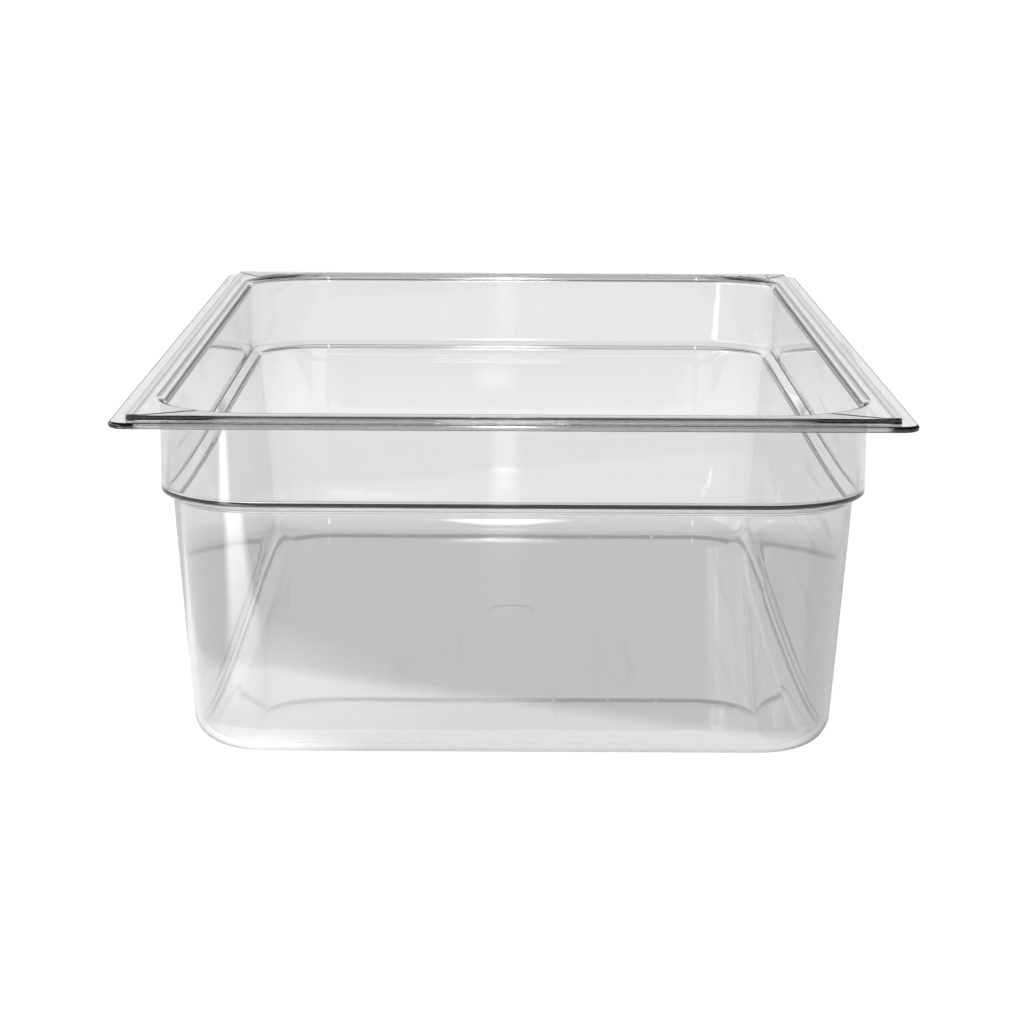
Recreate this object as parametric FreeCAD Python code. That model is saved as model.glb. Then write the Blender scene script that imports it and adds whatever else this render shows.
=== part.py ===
import FreeCAD, Part
import math
import os

# Clear food pan in the full gastronorm size, one polycarbonate moulding.
# Millimetres. X runs across the pan, Y along it, Z up. The origin is the centre
# of the underside of the floor. An inset is a distance in from the flange's edge.
# Each part file is one region of the moulding, and the regions meet face to face.

# Overall sizes
length = 530.0
width = 325.0
height = 148.0  # floor underside to the top of the corner pads

# Walls
wall_thickness = 2.8
floor_thickness = 3.0
corner_inset = 59.5  # centre of every wall corner, from both flange edges
upper_wall_inset = 15.0  # outer face of the upright upper wall
shoulder_step = 5.0  # how far the stacking shoulder steps in
shoulder_rise = 3.5  # height of the sloping shoulder
shoulder_drop = 42.2  # rim top to the foot of the shoulder
draft_angle = 4.5  # lean of the lower wall, degrees
heel_radius = 14.0  # outside, where the walls turn into the floor
shoulder_nose_radius = 2.0  # outside, at the top of the shoulder
shoulder_foot_radius = 1.2  # outside, at the foot of the shoulder
ledge_radius = 1.5  # inside, where the shoulder leaves the upper wall
region_margin = 2.0  # plain wall kept beyond a curve before a region ends

# Flange
lip_thickness = 2.6
lip_corner_radius = 7.5
lip_edge_radius = 1.1
rim_inset = 6.7  # outer face of the raised rim
rim_rise = 2.15  # raised rim above the lip
rim_corner_radius = 3.5
rim_edge_radius = 0.4
mouth_radius = 4.5  # rounding from the rim's top into the pan
root_radius = 1.5  # under the flange, where the wall meets it

# Corner pads, raised flats on the four corners of the rim
pad_rise = 0.25
pad_bevel = 0.15
pad_margin = 1.0  # rim left showing outside the pad and beside the mouth
pad_outer_reach = 6.0  # along the rim's outer edge, from its corner
pad_inner_inset = 34.0  # where the pad's side meets the mouth

# Gate mark under the floor: a shallow well with a small stub in it
gate_offset = 30.0  # behind the centre of the floor
gate_well_radius = 11.0
gate_well_depth = 0.5
gate_stub_radius = 1.8
gate_stub_height = 0.35

# Heights and insets that follow from these
draft = math.radians(draft_angle)
rim_top = height - pad_rise
rim_bottom = rim_top - wall_thickness
lip_top = rim_top - rim_rise
lip_bottom = lip_top - lip_thickness
foot_z = rim_top - shoulder_drop
nose_z = foot_z + shoulder_rise
foot_inset = upper_wall_inset + shoulder_step
heel_inset = foot_inset + foot_z * math.tan(draft)
upper_inner_inset = upper_wall_inset + wall_thickness
groove_inset = rim_inset + wall_thickness
heel_inner_radius = heel_radius - wall_thickness
foot_inner_radius = shoulder_foot_radius + wall_thickness

# Where one region of the moulding ends and the next begins
floor_edge_inset = heel_inset + heel_radius + region_margin
heel_end_z = heel_radius + region_margin
shoulder_start_z = foot_z - 2 * region_margin
shoulder_end_z = nose_z + 2 * region_margin
neck_z = rim_bottom - root_radius - region_margin

side_names = ("front", "right", "back", "left")
up = FreeCAD.Vector(0, 0, 1)
centre = FreeCAD.Vector(0, 0, 0)


def spot(inset, z):
    """A point of the wall's section, which is drawn in the plane X = 0."""
    return FreeCAD.Vector(0, inset, z)


def crossing(place_a, way_a, place_b, way_b):
    """Where two lines of the section meet, each given by a place and a direction."""
    across = way_a[0] * way_b[1] - way_a[1] * way_b[0]
    gap = (place_b[0] - place_a[0], place_b[1] - place_a[1])
    reach = (gap[0] * way_b[1] - gap[1] * way_b[0]) / across
    return place_a[0] + reach * way_a[0], place_a[1] + reach * way_a[1]


def rounded_path(start, turns, end):
    """Edges from start to end through turns, each an (inset, z, radius) to round."""
    corners = [start] + [turn[:2] for turn in turns] + [end]
    edges = []
    begin = spot(*start)
    for number, (inset, z, radius) in enumerate(turns, start=1):
        tip = spot(inset, z)
        back = (spot(*corners[number - 1]) - tip).normalize()
        ahead = (spot(*corners[number + 1]) - tip).normalize()
        half_angle = back.getAngle(ahead) / 2
        reach = radius / math.tan(half_angle)
        sagitta = radius / math.sin(half_angle) - radius
        inwards = (back + ahead).normalize()
        enter = tip + back * reach
        leave = tip + ahead * reach
        edges.append(Part.makeLine(begin, enter))
        edges.append(Part.Arc(enter, tip + inwards * sagitta, leave).toShape())
        begin = leave
    edges.append(Part.makeLine(begin, spot(*end)))
    return edges


def section_face(edges):
    """The face inside a closed run of edges."""
    return Part.Face(Part.Wire(Part.__sortEdges__(edges)))


def wall_section():
    """The wall from the floor's edge up to the underside of the rim."""
    slope = (math.tan(draft), -1.0)
    rise = (-shoulder_step, shoulder_rise)
    rise_length = math.hypot(*rise)
    shift = wall_thickness / rise_length
    floor_line = (0.0, floor_thickness), (1.0, 0.0)
    lower_line = (foot_inset + wall_thickness / math.cos(draft), foot_z), slope
    rise_line = (foot_inset + shift * shoulder_rise, foot_z + shift * shoulder_step), rise
    upper_line = (upper_inner_inset, 0.0), (0.0, 1.0)
    heel = crossing(*floor_line, *lower_line)
    foot = crossing(*lower_line, *rise_line)
    ledge = crossing(*rise_line, *upper_line)
    outside = rounded_path(
        (corner_inset, 0.0),
        [
            (heel_inset, 0.0, heel_radius),
            (foot_inset, foot_z, shoulder_foot_radius),
            (upper_wall_inset, nose_z, shoulder_nose_radius),
        ],
        (upper_wall_inset, rim_bottom),
    )
    inside = rounded_path(
        (corner_inset, floor_thickness),
        [
            (*heel, heel_inner_radius),
            (*foot, foot_inner_radius),
            (*ledge, ledge_radius),
        ],
        (upper_inner_inset, rim_bottom),
    )
    ends = [
        Part.makeLine(spot(corner_inset, 0.0), spot(corner_inset, floor_thickness)),
        Part.makeLine(spot(upper_wall_inset, rim_bottom), spot(upper_inner_inset, rim_bottom)),
    ]
    return section_face(outside + inside + ends)


def band(section, low, high):
    """The part of a section outside the floor, between two heights."""
    corners = [spot(0, low), spot(floor_edge_inset, low), spot(floor_edge_inset, high), spot(0, high)]
    window = Part.Face(Part.makePolygon(corners + corners[:1]))
    return section.common(window).Faces[0]


def half_run(side):
    """Half the straight run of a side, between the centres of its two corners."""
    return (width if side in ("front", "back") else length) / 2 - corner_inset


def edge_reach(side):
    """From the pan's centre out to the flange's edge on a side."""
    return (length if side in ("front", "back") else width) / 2


def facing(shape, side):
    """A shape made at the front, turned to face another side."""
    return shape.rotated(centre, up, 90 * side_names.index(side))


def straight(face, side):
    """A section drawn out along the straight run of a side."""
    drawn = face.translated(FreeCAD.Vector(-half_run(side), -edge_reach(side), 0))
    return facing(drawn.extrude(FreeCAD.Vector(2 * half_run(side), 0, 0)), side)


def corner(face, side):
    """A section revolved round the corner at the end of a side."""
    drawn = face.translated(FreeCAD.Vector(half_run(side), -edge_reach(side), 0))
    axis = FreeCAD.Vector(half_run(side), corner_inset - edge_reach(side), 0)
    return facing(drawn.revolve(axis, up, 90), side)


def straights(face):
    return [straight(face, side) for side in side_names]


def corners(face):
    return [corner(face, side) for side in side_names]


def ring(face):
    """A section carried all the way round the pan as one solid."""
    pieces = straights(face) + corners(face)
    return pieces[0].multiFuse(pieces[1:]).removeSplitter()


def slab(inset, radius, low, high):
    """A block with round corners, covering the pan inside an inset."""
    half_x = width / 2 - inset
    half_y = length / 2 - inset
    base = FreeCAD.Vector(-half_x, -half_y, low)
    block = Part.makeBox(2 * half_x, 2 * half_y, high - low, base)
    uprights = [edge for edge in block.Edges if edge.BoundBox.ZLength > (high - low) / 2]
    return block.makeFillet(radius, uprights)


def level_edges(shape, z):
    """The edges of a shape that lie at one height."""
    tolerance = 0.001
    return [
        edge
        for edge in shape.Edges
        if abs(edge.BoundBox.ZMin - z) < tolerance and abs(edge.BoundBox.ZMax - z) < tolerance
    ]


def split(shape, low, high):
    """A ring cut into its four straight runs, by side, and its four corners."""
    runs = {}
    turns = []
    for side in side_names:
        reach = edge_reach(side)
        size_run = (2 * half_run(side), corner_inset, high - low)
        start_run = FreeCAD.Vector(-half_run(side), -reach, low)
        size_turn = (corner_inset, corner_inset, high - low)
        start_turn = FreeCAD.Vector(half_run(side), -reach, low)
        runs[side] = shape.common(facing(Part.makeBox(*size_run, start_run), side)).Solids
        turns += shape.common(facing(Part.makeBox(*size_turn, start_turn), side)).Solids
    return runs, turns


def corner_fill(inset, z, radius):
    """What lies between a square corner, open outwards and down, and its rounding."""
    chord = radius * (1 - math.sqrt(0.5))
    side_end = spot(inset, z - radius)
    top_end = spot(inset - radius, z)
    arc = Part.Arc(top_end, spot(inset - chord, z - chord), side_end).toShape()
    lines = [Part.makeLine(side_end, spot(inset, z)), Part.makeLine(spot(inset, z), top_end)]
    return section_face(lines + [arc])


def raised_rim():
    """The raised rim with its mouth rounding, underside groove and wall stub."""
    block = slab(rim_inset, rim_corner_radius, lip_bottom, rim_top)
    block = block.makeFillet(rim_edge_radius, level_edges(block, rim_top))
    groove = slab(groove_inset, rim_corner_radius, lip_bottom, rim_bottom)
    stub = slab(upper_wall_inset, corner_inset - upper_wall_inset, neck_z, rim_bottom)
    opening = slab(upper_inner_inset, corner_inset - upper_inner_inset, neck_z, rim_top)
    root = ring(corner_fill(upper_wall_inset, rim_bottom, root_radius))
    flare = ring(corner_fill(upper_inner_inset, rim_top, mouth_radius))
    rim = block.cut(groove).multiFuse([stub, root])
    return rim.cut(opening).cut(flare)


def outer_lip():
    """The thin ledge that runs round outside the raised rim."""
    lip = slab(0, lip_corner_radius, lip_bottom, lip_top)
    edges = level_edges(lip, lip_bottom) + level_edges(lip, lip_top)
    lip = lip.makeFillet(lip_edge_radius, edges)
    return lip.cut(slab(rim_inset, rim_corner_radius, lip_bottom, lip_top))


def corner_pad(side):
    """The raised flat on the rim, at the corner at the end of a side."""
    near = rim_inset + pad_margin
    far = near + pad_outer_reach
    mouth = corner_inset - upper_inner_inset + mouth_radius + pad_margin
    along = corner_inset - pad_inner_inset
    beside = corner_inset - math.sqrt(mouth**2 - along**2)
    middle = corner_inset - mouth * math.sqrt(0.5)

    def place(inset_run, inset_edge):
        x = half_run(side) + corner_inset - inset_run
        return FreeCAD.Vector(x, inset_edge - edge_reach(side), rim_top)

    outline = [
        Part.makeLine(place(pad_inner_inset, beside), place(far, near)),
        Part.makeLine(place(far, near), place(near, near)),
        Part.makeLine(place(near, near), place(near, far)),
        Part.makeLine(place(near, far), place(beside, pad_inner_inset)),
        Part.Arc(
            place(beside, pad_inner_inset),
            place(middle, middle),
            place(pad_inner_inset, beside),
        ).toShape(),
    ]
    pad = section_face(outline).extrude(FreeCAD.Vector(0, 0, pad_rise))
    pad = pad.makeChamfer(pad_bevel, level_edges(pad, height))
    return facing(pad, side)


def floor_panel():
    """The flat floor inside the heel, with the gate mark under it."""
    panel = slab(floor_edge_inset, corner_inset - floor_edge_inset, 0, floor_thickness)
    place = FreeCAD.Vector(0, gate_offset, 0)
    well = Part.makeCylinder(gate_well_radius, gate_well_depth, place)
    stub_place = FreeCAD.Vector(0, gate_offset, gate_well_depth - gate_stub_height)
    stub = Part.makeCylinder(gate_stub_radius, gate_stub_height, stub_place)
    return panel.cut(well).fuse(stub).removeSplitter()


wall = wall_section()
heel = band(wall, 0, heel_end_z)
lower = band(wall, heel_end_z, shoulder_start_z)
shoulder = band(wall, shoulder_start_z, shoulder_end_z)
upper = band(wall, shoulder_end_z, neck_z)
rim_runs, rim_turns = split(raised_rim(), neck_z, rim_top)
lip_runs, lip_turns = split(outer_lip(), lip_bottom, lip_top)

parts = {
    "floor_panel": [floor_panel()],
    "floor_heel": straights(heel) + corners(heel),
    "lower_wall_corners": corners(lower),
    "stacking_shoulder": straights(shoulder) + corners(shoulder),
    "upper_wall_corners": corners(upper),
    "rim_corners": rim_turns,
    "outer_lip": sum(lip_runs.values(), []) + lip_turns,
    "corner_pads": [corner_pad(side) for side in side_names],
}
for side in side_names:
    parts["lower_wall_" + side] = [straight(lower, side)]
    parts["upper_wall_" + side] = [straight(upper, side)]
    parts["rim_" + side] = rim_runs[side]

os.makedirs("parts", exist_ok=True)
total = 0.0
for name, shapes in parts.items():
    solids = [solid for shape in shapes for solid in shape.Solids]
    for solid in solids:
        assert solid.isValid() and solid.Volume > 0, name
    volume = sum(solid.Volume for solid in solids)
    total += volume
    print(name, len(solids), "solids", round(volume / 1000, 2), "cm3")
    whole = solids[0] if len(solids) == 1 else Part.makeCompound(solids)
    whole.exportStep("parts/" + name + ".step")
print("whole pan", round(total / 1000, 1), "cm3")
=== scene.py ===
from math import acos, asin, ceil, cos, hypot, pi, radians, sin, tan

import bpy
from mathutils import Matrix, Vector
from mathutils.geometry import tessellate_polygon


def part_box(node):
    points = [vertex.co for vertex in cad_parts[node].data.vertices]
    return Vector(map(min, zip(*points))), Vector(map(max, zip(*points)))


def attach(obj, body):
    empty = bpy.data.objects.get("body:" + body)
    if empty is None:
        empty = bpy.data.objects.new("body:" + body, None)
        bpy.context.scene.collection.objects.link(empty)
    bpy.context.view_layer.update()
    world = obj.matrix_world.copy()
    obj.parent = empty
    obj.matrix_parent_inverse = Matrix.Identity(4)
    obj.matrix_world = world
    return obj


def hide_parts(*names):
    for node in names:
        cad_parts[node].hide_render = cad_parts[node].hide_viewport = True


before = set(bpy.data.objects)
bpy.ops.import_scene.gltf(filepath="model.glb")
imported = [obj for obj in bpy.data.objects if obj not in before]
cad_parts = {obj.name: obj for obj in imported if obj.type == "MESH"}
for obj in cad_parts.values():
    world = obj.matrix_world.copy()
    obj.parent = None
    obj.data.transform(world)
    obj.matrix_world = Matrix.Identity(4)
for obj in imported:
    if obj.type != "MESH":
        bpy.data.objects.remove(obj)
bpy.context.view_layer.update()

mm = 0.001
white = (1.0, 1.0, 1.0, 1.0)
print("frame loaded:", len(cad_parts), "nodes")


class Signal:
    # a node's output socket; + - * / and reflected forms write Math nodes
    def __init__(self, paint, socket):
        self.paint = paint
        self.socket = socket

    def math(self, operation, *others, first=None):
        terms = ([first] if first is not None else []) + [self] + list(others)
        return self.paint.add("ShaderNodeMath", {"operation": operation}, dict(enumerate(terms)))

    def __add__(self, other):
        return self.math("ADD", other)

    def __sub__(self, other):
        return self.math("SUBTRACT", other)

    def __mul__(self, other):
        return self.math("MULTIPLY", other)

    def __truediv__(self, other):
        return self.math("DIVIDE", other)

    def __radd__(self, other):
        return self.math("ADD", other)

    def __rsub__(self, other):
        return self.math("SUBTRACT", first=other)

    def __rmul__(self, other):
        return self.math("MULTIPLY", other)

    def size(self):
        return self.math("ABSOLUTE")

    def power(self, other):
        return self.math("POWER", other)

    def largest(self, other):
        return self.math("MAXIMUM", other)

    def ramp(self, low, high, outLow=0.0, outHigh=1.0):
        settings = {"clamp": True}
        sockets = {"Value": self, "From Min": low, "From Max": high, "To Min": outLow, "To Max": outHigh}
        return self.paint.add("ShaderNodeMapRange", settings, sockets)


class Paint:
    # one node tree; add() makes any node: its settings first, then its sockets
    def __init__(self, owner):
        owner.use_nodes = True
        self.owner = owner
        self.tree = owner.node_tree
        self.tree.nodes.clear()

    def add(self, kind, settings=None, sockets=None, out=0):
        node = self.tree.nodes.new(kind)
        for name, value in (settings or {}).items():
            setattr(node, name, value)
        for name, value in (sockets or {}).items():
            if isinstance(value, Signal):
                self.tree.links.new(value.socket, node.inputs[name])
            else:
                node.inputs[name].default_value = value
        if out is None:
            return node
        return Signal(self, node.outputs[out])

    def noise(self, place, scale, detail=3.0, roughness=0.5):
        sockets = {"Vector": place, "Scale": scale, "Detail": detail, "Roughness": roughness}
        return self.add("ShaderNodeTexNoise", {}, sockets)


view = {
    "lens": 102.95,
    "place": (-3.33 * mm, -1414.8 * mm, 335.6 * mm),
    "pitch": 11.080,  # degrees below level; yaw is to the right and roll anticlockwise
    "yaw": 0.138,
    "roll": 0.308,
    "sensor": 36.0,
    "nearest": 0.01,
    "furthest": 100.0,
}


def makeCamera():
    data = bpy.data.cameras.new("camera")
    data.lens = view["lens"]
    data.sensor_width = view["sensor"]
    data.clip_start = view["nearest"]
    data.clip_end = view["furthest"]
    camera = bpy.data.objects.new("camera", data)
    bpy.context.scene.collection.objects.link(camera)
    turn = Matrix.Rotation(radians(-view["yaw"]), 4, "Z")
    tilt = Matrix.Rotation(radians(90.0 - view["pitch"]), 4, "X")
    roll = Matrix.Rotation(radians(view["roll"]), 4, "Z")
    camera.matrix_world = Matrix.Translation(view["place"]) @ turn @ tilt @ roll
    bpy.context.scene.camera = camera


# millimetres and degrees; insets are measured in from the edge of the flange
pan = {
    "wall": 2.8,
    "floor": 3.0,
    "cornerInset": 59.5,
    "upperInset": 15.0,
    "step": 5.0,
    "stepRise": 3.5,
    "footBelowRim": 42.2,
    "draft": 4.5,
    "heelRadius": 14.0,
    "noseRadius": 2.0,
    "footRadius": 1.2,
    "ledgeRadius": 1.5,
    "lipRadius": 7.5,
    "lipEdge": 1.1,
    "rimInset": 6.7,
    "rimRadius": 3.5,
    "rimEdge": 0.4,
    "innerEdge": 0.35,
    "mouthRadius": 4.5,
    "rootRadius": 1.5,
    "padMargin": 1.0,
    "padReach": 6.0,
    "padInnerInset": 34.0,
    "padSoft": 0.15,  # half the width of a pad's sloping side
    # across the side, in padSoft; up it, as a share of the pad's height; and the normal's lean
    "padSideSteps": ((1.0, 0.0, 0.0), (0.35, 0.14, 0.7), (-0.35, 0.86, 0.7), (-1.0, 1.0, 0.0)),
    "padArcSteps": 10,
    "padSharpest": 0.35,  # keeps a narrow corner of the outline from running far out
    "gateBack": 30.0,
    "gateWell": 11.0,
    "gateWellDepth": 0.5,
    "gateStub": 1.8,
    "gateStubHeight": 0.35,
    "gateSoft": 0.15,
    "gateSteps": 64,
    "cornerSteps": 36,
    "arcStep": 6.0,  # degrees of a section's arc for each step
    "flatTurn": 1e-9,  # smaller triangles than this are left out
}


def crossing(placeA, wayA, placeB, wayB):
    across = wayA[0] * wayB[1] - wayA[1] * wayB[0]
    gap = (placeB[0] - placeA[0], placeB[1] - placeA[1])
    reach = (gap[0] * wayB[1] - gap[1] * wayB[0]) / across
    return placeA[0] + reach * wayA[0], placeA[1] + reach * wayA[1]


def roundedProfile(start, turns, end):
    # a section path, as (inset, z, normal inset, normal z, family) points
    places = [start[:2]] + [turn[:2] for turn in turns] + [end[:2]]
    ways = []
    for a, b in zip(places, places[1:]):
        size = hypot(b[0] - a[0], b[1] - a[1])
        ways.append(((b[0] - a[0]) / size, (b[1] - a[1]) / size))
    points = [(*places[0], -ways[0][1], ways[0][0], start[2])]
    for number, (inset, z, radius, family) in enumerate(turns):
        before, after = ways[number], ways[number + 1]
        cross = before[0] * after[1] - before[1] * after[0]
        turn = acos(max(-1.0, min(1.0, before[0] * after[0] + before[1] * after[1])))
        side = 1.0 if cross > 0 else -1.0
        reach = radius * tan(turn / 2)
        enter = (inset - before[0] * reach, z - before[1] * reach)
        centre = (enter[0] - before[1] * radius * side, enter[1] + before[0] * radius * side)
        steps = max(3, ceil(turn / radians(pan["arcStep"])))
        for step in range(steps + 1):
            swing = side * turn * step / steps
            way = (
                before[0] * cos(swing) - before[1] * sin(swing),
                before[0] * sin(swing) + before[1] * cos(swing),
            )
            normal = (-way[1], way[0])
            point = (centre[0] - side * normal[0] * radius, centre[1] - side * normal[1] * radius)
            points.append((*point, *normal, family))
    points.append((*places[-1], -ways[-1][1], ways[-1][0], end[2]))
    return points


def panProfile(size):
    slope = tan(radians(pan["draft"]))
    rimTop, lipTop, lipBottom = size["rimTop"], size["lipTop"], size["lipBottom"]
    rimBottom = rimTop - pan["wall"]
    footZ = rimTop - pan["footBelowRim"]
    noseZ = footZ + pan["stepRise"]
    footInset = pan["upperInset"] + pan["step"]
    heelInset = footInset + footZ * slope
    innerInset = pan["upperInset"] + pan["wall"]
    riseLength = hypot(pan["step"], pan["stepRise"])
    shift = pan["wall"] / riseLength
    floorLine = (0.0, pan["floor"]), (1.0, 0.0)
    lowerLine = (footInset + pan["wall"] / cos(radians(pan["draft"])), footZ), (slope, -1.0)
    riseLine = (
        (footInset + shift * pan["stepRise"], footZ + shift * pan["step"]),
        (-pan["step"], pan["stepRise"]),
    )
    upperLine = (innerInset, 0.0), (0.0, 1.0)
    heel = crossing(*floorLine, *lowerLine)
    foot = crossing(*lowerLine, *riseLine)
    ledge = crossing(*riseLine, *upperLine)
    edge = size["floorEdge"]
    grooveInset = pan["rimInset"] + pan["wall"]
    below = [
        (heelInset, 0.0, pan["heelRadius"], "wall"),
        (footInset, footZ, pan["footRadius"], "wall"),
        (pan["upperInset"], noseZ, pan["noseRadius"], "wall"),
        (pan["upperInset"], rimBottom, pan["rootRadius"], "wall"),
        (grooveInset, rimBottom, pan["innerEdge"], "groove"),
        (grooveInset, lipBottom, pan["innerEdge"], "groove"),
        (0.0, lipBottom, pan["lipEdge"], "lip"),
        (0.0, lipTop, pan["lipEdge"], "lip"),
        (pan["rimInset"], lipTop, pan["innerEdge"], "rim"),
        (pan["rimInset"], rimTop, pan["rimEdge"], "rim"),
    ]
    above = [
        (innerInset, rimTop, pan["mouthRadius"], "wall"),
        (*ledge, pan["ledgeRadius"], "wall"),
        (*foot, pan["footRadius"] + pan["wall"], "wall"),
        (*heel, pan["heelRadius"] - pan["wall"], "wall"),
    ]
    return roundedProfile((edge, 0.0, "wall"), below + above, (edge, pan["floor"], "wall"))


def planRadius(inset, family):
    if family == "lip":
        return pan["lipRadius"] - inset
    if family == "rim":
        return pan["rimRadius"] + pan["rimInset"] - inset
    if family == "groove":
        return pan["rimRadius"] + pan["rimInset"] + pan["wall"] - inset
    return pan["cornerInset"] - inset


class Shell:
    # points, their normals and faces, gathered before they become a mesh
    def __init__(self):
        self.points = []
        self.normals = []
        self.faces = []

    def loop(self, points, normals):
        first = len(self.points)
        self.points += points
        self.normals += normals
        return list(range(first, len(self.points)))

    def strip(self, low, high):
        count = len(low)
        for here in range(count):
            there = (here + 1) % count
            self.faces.append((low[here], low[there], high[there], high[here]))

    def fill(self, loops, facing):
        # a flat face with holes, as triangles that all face up (1) or down (-1)
        flat = [index for loop in loops for index in loop]
        outlines = []
        for loop in loops:
            outlines.append([Vector((*self.points[index][:2], 0.0)) for index in loop])
        for a, b, c in tessellate_polygon(outlines):
            pa, pb, pc = (Vector(self.points[flat[index]]) for index in (a, b, c))
            turn = (pb - pa).cross(pc - pa).z
            if abs(turn) < pan["flatTurn"]:
                continue
            order = (a, b, c) if turn * facing > 0 else (a, c, b)
            self.faces.append(tuple(flat[index] for index in order))

    def make(self, name):
        mesh = bpy.data.meshes.new(name)
        mesh.from_pydata([Vector(point) * mm for point in self.points], [], self.faces)
        mesh.polygons.foreach_set("use_smooth", [True] * len(mesh.polygons))
        mesh.normals_split_custom_set_from_vertices(self.normals)
        mesh.update()
        piece = bpy.data.objects.new(name, mesh)
        bpy.context.scene.collection.objects.link(piece)
        return piece


def planLoop(shell, size, inset, z, normalInset, normalZ, family):
    radius = planRadius(inset, family)
    points, normals = [], []
    for corner in range(4):
        signX = 1.0 if corner in (0, 3) else -1.0
        signY = 1.0 if corner in (0, 1) else -1.0
        centreX = signX * (size["halfX"] - inset - radius)
        centreY = signY * (size["halfY"] - inset - radius)
        for step in range(pan["cornerSteps"] + 1):
            angle = (corner + step / pan["cornerSteps"]) * pi / 2
            points.append((centreX + radius * cos(angle), centreY + radius * sin(angle), z))
            normal = Vector((-normalInset * cos(angle), -normalInset * sin(angle), normalZ))
            normals.append(normal.normalized())
    return shell.loop(points, normals)


def padOutline():
    # one corner pad, in insets from the two flange edges, going round once
    near = pan["rimInset"] + pan["padMargin"]
    far = near + pan["padReach"]
    mouth = pan["cornerInset"] - pan["upperInset"] - pan["wall"] + pan["mouthRadius"] + pan["padMargin"]
    along = pan["cornerInset"] - pan["padInnerInset"]
    start = asin(along / mouth)
    outline = [(near, near), (near, far)]
    for step in range(pan["padArcSteps"] + 1):
        angle = start + (pi / 2 - 2 * start) * step / pan["padArcSteps"]
        outline.append((pan["cornerInset"] - mouth * cos(angle), pan["cornerInset"] - mouth * sin(angle)))
    first = outline[2]
    if first[0] > first[1]:
        outline[2:] = outline[:1:-1]
    outline.append((far, near))
    return outline


def offsetOutline(outline, distance):
    # the outline moved outwards by a distance, with the way out at each point
    moved = []
    count = len(outline)
    area = sum(a[0] * b[1] - a[1] * b[0] for a, b in zip(outline, outline[1:] + outline[:1]))
    side = 1.0 if area > 0 else -1.0
    for here in range(count):
        before, point, after = outline[here - 1], outline[here], outline[(here + 1) % count]
        ways = []
        for a, b in ((before, point), (point, after)):
            size = hypot(b[0] - a[0], b[1] - a[1])
            ways.append((side * (b[1] - a[1]) / size, -side * (b[0] - a[0]) / size))
        out = Vector((ways[0][0] + ways[1][0], ways[0][1] + ways[1][1])).normalized()
        stretch = 1.0 / max(pan["padSharpest"], out.x * ways[0][0] + out.y * ways[0][1])
        moved.append((point[0] + out.x * distance * stretch, point[1] + out.y * distance * stretch, out))
    return moved


def cornerPad(shell, size, signX, signY):
    # returns the loop where the pad leaves the rim's top
    rise = size["padTop"] - size["rimTop"]
    loops = []
    for reach, share, lean in pan["padSideSteps"]:
        lift = rise * share
        points, normals = [], []
        for insetX, insetY, out in offsetOutline(padOutline(), pan["padSoft"] * reach):
            x = signX * (size["halfX"] - insetX)
            y = signY * (size["halfY"] - insetY)
            points.append((x, y, size["rimTop"] + lift))
            normal = Vector((-signX * out.x * lean, -signY * out.y * lean, 1.0 - lean * 0.3))
            normals.append(normal.normalized())
        if signX * signY > 0:
            points.reverse()
            normals.reverse()
        loops.append(shell.loop(points, normals))
    for low, high in zip(loops, loops[1:]):
        shell.strip(low, high)
    shell.fill([loops[-1]], 1)
    return loops[0]


def gateMark(shell):
    # a shallow well under the floor with a small stub; returns its outer loop
    soft = pan["gateSoft"]
    well, depth = pan["gateWell"], pan["gateWellDepth"]
    stub = pan["gateStub"]
    foot = depth - pan["gateStubHeight"]
    levels = [  # radius, height, and how far the normal leans out and down
        (well + soft, 0.0, 0.0, -1.0),
        (well, soft * 0.3, -0.7, -0.7),
        (well - soft * 0.4, depth - soft * 0.3, -0.7, -0.7),
        (well - soft * 1.4, depth, 0.0, -1.0),
        (stub + soft, depth, 0.0, -1.0),
        (stub, depth - soft * 0.3, 0.7, -0.7),
        (stub, foot + soft * 0.5, 0.9, -0.4),
        (stub - soft, foot, 0.0, -1.0),
    ]
    angles = [-2 * pi * step / pan["gateSteps"] for step in range(pan["gateSteps"])]
    loops = []
    for radius, z, out, down in levels:
        points = [(radius * cos(a), pan["gateBack"] + radius * sin(a), z) for a in angles]
        normals = [Vector((out * cos(a), out * sin(a), down)).normalized() for a in angles]
        loops.append(shell.loop(points, normals))
    for low, high in zip(loops, loops[1:]):
        shell.strip(low, high)
    shell.fill([loops[-1]], -1)
    return loops[0]


def makePan():
    lipLow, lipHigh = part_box("outer_lip")
    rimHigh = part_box("rim_corners")[1]
    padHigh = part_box("corner_pads")[1]
    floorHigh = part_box("floor_panel")[1]
    size = {
        "halfX": lipHigh.x / mm,
        "halfY": lipHigh.y / mm,
        "lipTop": lipHigh.z / mm,
        "lipBottom": lipLow.z / mm,
        "rimTop": rimHigh.z / mm,
        "padTop": padHigh.z / mm,
        "floorEdge": (lipHigh.x - floorHigh.x) / mm,
    }
    shell = Shell()
    profile = panProfile(size)
    loops = [planLoop(shell, size, *point) for point in profile]
    for number, (low, high) in enumerate(zip(loops, loops[1:])):
        if profile[number][4] == "rim" and profile[number + 1][4] == "wall":
            pads = [cornerPad(shell, size, x, y) for x in (-1.0, 1.0) for y in (-1.0, 1.0)]
            shell.fill([low, high] + pads, 1)
        else:
            shell.strip(low, high)
    shell.fill([loops[0], gateMark(shell)], -1)
    shell.fill([loops[-1]], 1)
    return shell.make("clear_pan")


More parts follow.
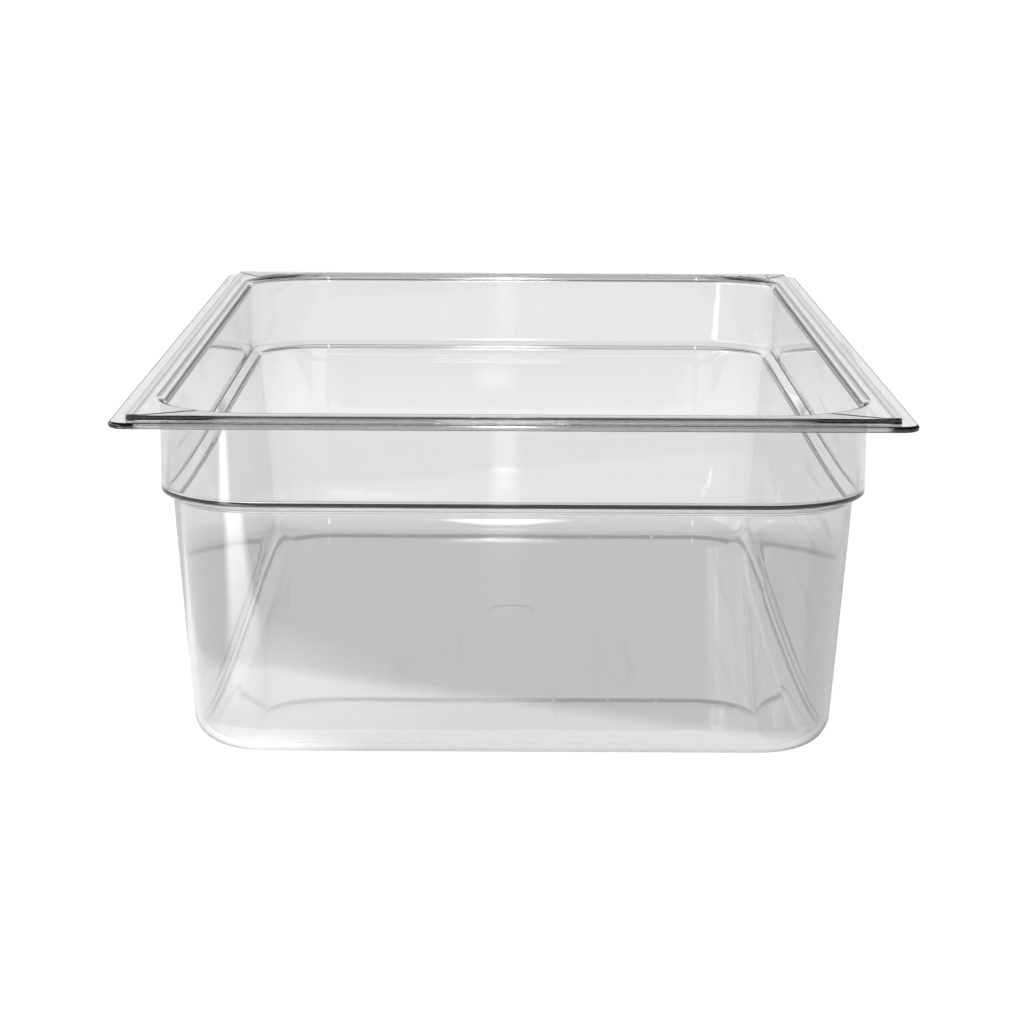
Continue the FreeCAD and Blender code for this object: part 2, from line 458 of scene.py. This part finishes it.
plastic = {
    "ior": 1.585,
    "depthColour": (0.0, 0.0, 0.0, 1.0),
    "depthDensity": 60.0,  # how fast what is seen through the plastic gets darker, per metre
    "scuffed": 0.12,  # roughness in a scratch; the rest is polished
    "rippleScale": 9.0,
    "rippleStretch": 0.22,  # along the height, as the melt flowed up the walls
    "rippleDepth": 0.00006,
    "scratchScale": 260.0,
    "scratchStretch": 0.035,
    "scratchTurns": (0.7, 2.1),
    "scratchEdge": (0.68, 0.72),  # where in the noise each mark starts and is full
    "handledScale": 6.0,  # patches where hands and stacking wear the plastic
    "handledEdge": (0.45, 0.6),
    "haze": 0.3,  # how much of a scratch's roughness such a patch has all over
    "hazeEdge": (0.55, 0.8),
    "specksScale": 900.0,
    "specksEdge": (0.80, 0.84),
}


def scratches(paint, place, turn):
    # fine lines, each long in one direction
    drawn = {
        "Vector": place,
        "Rotation": (turn, 0.6 * turn, 1.3 * turn),
        "Scale": (1.0, plastic["scratchStretch"], 1.0),
    }
    lines = paint.noise(paint.add("ShaderNodeMapping", {}, drawn), plastic["scratchScale"], 1.0)
    return lines.ramp(*plastic["scratchEdge"])


def makePlastic():
    material = bpy.data.materials.new("clearPolycarbonate")
    paint = Paint(material)
    place = paint.add("ShaderNodeTexCoord", out="Object")
    flow = {"Vector": place, "Scale": (1.0, 1.0, plastic["rippleStretch"])}
    ripple = paint.noise(paint.add("ShaderNodeMapping", {}, flow), plastic["rippleScale"], 1.0)
    handled = paint.noise(place, plastic["handledScale"], 2.0)
    lines = [scratches(paint, place, turn) for turn in plastic["scratchTurns"]]
    marks = lines[0].largest(lines[1]) * handled.ramp(*plastic["handledEdge"])
    specks = paint.noise(place, plastic["specksScale"], 0.0).ramp(*plastic["specksEdge"])
    haze = handled.ramp(*plastic["hazeEdge"], 0.0, plastic["haze"])
    wear = marks.largest(specks).largest(haze)
    surface = paint.add(
        "ShaderNodeBsdfPrincipled",
        {},
        {
            "Base Color": white,
            "Roughness": wear * plastic["scuffed"],
            "IOR": plastic["ior"],
            "Transmission Weight": 1.0,
            "Normal": paint.add("ShaderNodeBump", {}, {"Distance": plastic["rippleDepth"], "Height": ripple}),
        },
    )
    depth = {"Color": plastic["depthColour"], "Density": plastic["depthDensity"]}
    inside = paint.add("ShaderNodeVolumeAbsorption", {}, depth)
    paint.add("ShaderNodeOutputMaterial", {}, {"Surface": surface, "Volume": inside}, out=None)
    return material


studio = {
    "floorColour": (0.2, 0.2, 0.2, 1.0),
    "floorSeen": 1.0,  # the floor's own light as the camera sees it beside the pan
    "floorGlow": 0.97,  # and as it shows through the plastic
    "floorReach": 60.0,
    "floorDrop": 0.0002,
    "backdrop": 1.05,
    "room": 0.14,  # what is left of the light between the soft boxes
    "bounces": 32,  # light crosses many walls of clear plastic
    "glossyBounces": 16,
    # azimuth is 0 behind the pan, 90 at its right and 180 in front of it; degrees
    "softBoxes": {
        "sweep": {"azimuth": 0, "wide": 22, "low": 6.0, "high": 40, "soft": 0.4, "strength": 0.8},
        "window": {"azimuth": 278, "wide": 46, "low": 3, "high": 34, "soft": 5, "strength": 2.0},
        "frontLeft": {"azimuth": 227, "wide": 12, "low": 3, "high": 22, "soft": 3, "strength": 4.0},
        "overhead": {"azimuth": 0, "wide": 12, "low": 40, "high": 82, "soft": 4, "strength": 1.1},
        "lamp": {"azimuth": 180.1, "wide": 0.9, "low": 8, "high": 11.5, "soft": 0.5, "strength": 60.0},
        "lampAbove": {"azimuth": 180.1, "wide": 1.3, "low": 45, "high": 75, "soft": 0.8, "strength": 12.0},
        "lowLeft": {"azimuth": 199, "wide": 13, "low": 0.4, "high": 4, "soft": 2, "strength": 1.5},
        "lowRight": {"azimuth": 161, "wide": 13, "low": 0.4, "high": 4, "soft": 2, "strength": 2.5},
        "spark": {"azimuth": 180.2, "wide": 0.28, "low": 0.45, "high": 0.65, "soft": 0.2, "strength": 3.0},
    },
    # patches of painted light and painted shade on the floor, which glow more, or less, through the plastic;
    # metres and degrees
    "floorPatches": {
        # painted highlight: a glowing strip at the front left, whose reflection is the bright strip down the
        # pan's front-left corner
        "leftHighlightStrip": {"place": (-0.47, -0.62), "half": (0.058, 0.42), "turn": -47, "soft": 0.35, "glow": 4.6},
        # painted highlights: a thin glowing strip and a small glowing spot in front of the pan, seen only in
        # reflection on its walls
        "frontHighlightStrip": {"place": (-0.004, -1.06), "half": (0.008, 0.5), "turn": 0, "soft": 0.4, "glow": 1.0},
        "frontHighlightSpot": {"place": (-0.004, -0.94), "half": (0.006, 0.006), "turn": 0, "soft": 1.0, "glow": 2.5},
        # painted shade: the floor is darker in front of the pan and far behind it, as seen through the
        # plastic
        "nearPaintedShade": {"place": (0.0, -0.41), "half": (1.2, 0.68), "turn": 0, "soft": 0.06, "glow": -0.23},
        "farPaintedShade": {"place": (0.0, 1.9), "half": (2.4, 1.0), "turn": 0, "soft": 0.2, "glow": -0.12},
        # painted shadow: the floor under the pan is darker
        "paintedShadowUnderPan": {"place": (0.0, 0.0), "half": (0.134, 0.236), "turn": 0, "soft": 0.02, "glow": -0.12},
        # painted light: a pool of light at the front left of the pan, whose sharp edge crosses under its
        # floor
        "paintedLightPool": {"place": (-0.215, -0.432), "half": (0.6, 0.35), "turn": -28, "soft": 0.03, "glow": 0.45},
    },
}


def softBox(box, east, north, up):
    # how much of one soft box a direction sees, from 0 to 1
    turn = radians(box["azimuth"])
    level = (1.0 - up * up).largest(0.0001).power(0.5)  # kept above 0 straight up
    facing = (east * sin(turn) + north * cos(turn)) / level
    edge = box["soft"]
    wide = facing.ramp(cos(radians(box["wide"] + edge)), cos(radians(box["wide"] - edge)))
    low = up.ramp(sin(radians(box["low"] - edge)), sin(radians(box["low"] + edge)))
    high = up.ramp(sin(radians(box["high"] + edge)), sin(radians(box["high"] - edge)))
    return wide * low * high * box["strength"]


def makeSky():
    world = bpy.data.worlds.new("studio")
    bpy.context.scene.world = world
    paint = Paint(world)
    direction = paint.add("ShaderNodeTexCoord", out="Generated")
    parts = paint.add("ShaderNodeSeparateXYZ", {}, {"Vector": direction}, out=None)
    east, north, up = (Signal(paint, parts.outputs[axis]) for axis in "XYZ")
    strength = studio["room"]
    for box in studio["softBoxes"].values():
        strength = strength + softBox(box, east, north, up)
    soft = paint.add("ShaderNodeBackground", {}, {"Color": white, "Strength": strength})
    plain = paint.add("ShaderNodeBackground", {}, {"Color": white, "Strength": studio["backdrop"]})
    seen = paint.add("ShaderNodeLightPath", out="Is Camera Ray")
    both = paint.add("ShaderNodeMixShader", {}, {0: seen, 1: soft, 2: plain})
    paint.add("ShaderNodeOutputWorld", {}, {"Surface": both}, out=None)


def floorPatch(patch, east, north):
    # 1 inside a turned rectangle on the floor, fading to 0 round it, times the patch's glow: painted light,
    # or painted shade where the glow is below 0
    turn = radians(patch["turn"])
    away = east - patch["place"][0], north - patch["place"][1]
    across = (away[0] * cos(turn) + away[1] * sin(turn)).size() / patch["half"][0]
    along = (away[1] * cos(turn) - away[0] * sin(turn)).size() / patch["half"][1]
    edge = patch["soft"]
    return across.ramp(1.0 + edge, 1.0 - edge) * along.ramp(1.0 + edge, 1.0 - edge) * patch["glow"]


def makeFloor():
    floorMesh = bpy.data.meshes.new("floor")
    half = studio["floorReach"]
    square = ((-half, -half), (half, -half), (half, half), (-half, half))
    corners = [(x, y, -studio["floorDrop"]) for x, y in square]
    floorMesh.from_pydata(corners, [], [(0, 1, 2, 3)])
    floor = bpy.data.objects.new("floor", floorMesh)
    bpy.context.scene.collection.objects.link(floor)
    paint = Paint(bpy.data.materials.new("paleFloor"))
    place = paint.add("ShaderNodeTexCoord", out="Object")
    parts = paint.add("ShaderNodeSeparateXYZ", {}, {"Vector": place}, out=None)
    east, north = (Signal(paint, parts.outputs[axis]) for axis in "XY")
    glow = studio["floorGlow"]
    # the floor patches add their painted light and painted shade to the glow
    for patch in studio["floorPatches"].values():
        glow = glow + floorPatch(patch, east, north)
    diffuse = paint.add("ShaderNodeBsdfDiffuse", {}, {"Color": studio["floorColour"]})
    through = paint.add("ShaderNodeEmission", {}, {"Color": white, "Strength": glow})
    beside = paint.add("ShaderNodeEmission", {}, {"Color": white, "Strength": studio["floorSeen"]})
    seen = paint.add("ShaderNodeLightPath", out="Is Camera Ray")
    shine = paint.add("ShaderNodeMixShader", {}, {0: seen, 1: through, 2: beside})
    surface = paint.add("ShaderNodeAddShader", {}, {0: diffuse, 1: shine})
    paint.add("ShaderNodeOutputMaterial", {}, {"Surface": surface}, out=None)
    floorMesh.materials.append(paint.owner)


makeCamera()
print("camera placed")
makeSky()
makeFloor()
print("studio lit")
clearPan = makePan()
clearPan.data.materials.append(makePlastic())
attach(clearPan, "root")
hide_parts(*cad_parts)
print("pan made:", len(clearPan.data.vertices), "points")

scene = bpy.context.scene
scene.view_settings.view_transform = "Standard"
scene.cycles.max_bounces = studio["bounces"]
scene.cycles.transmission_bounces = studio["bounces"]
scene.cycles.glossy_bounces = studio["glossyBounces"]
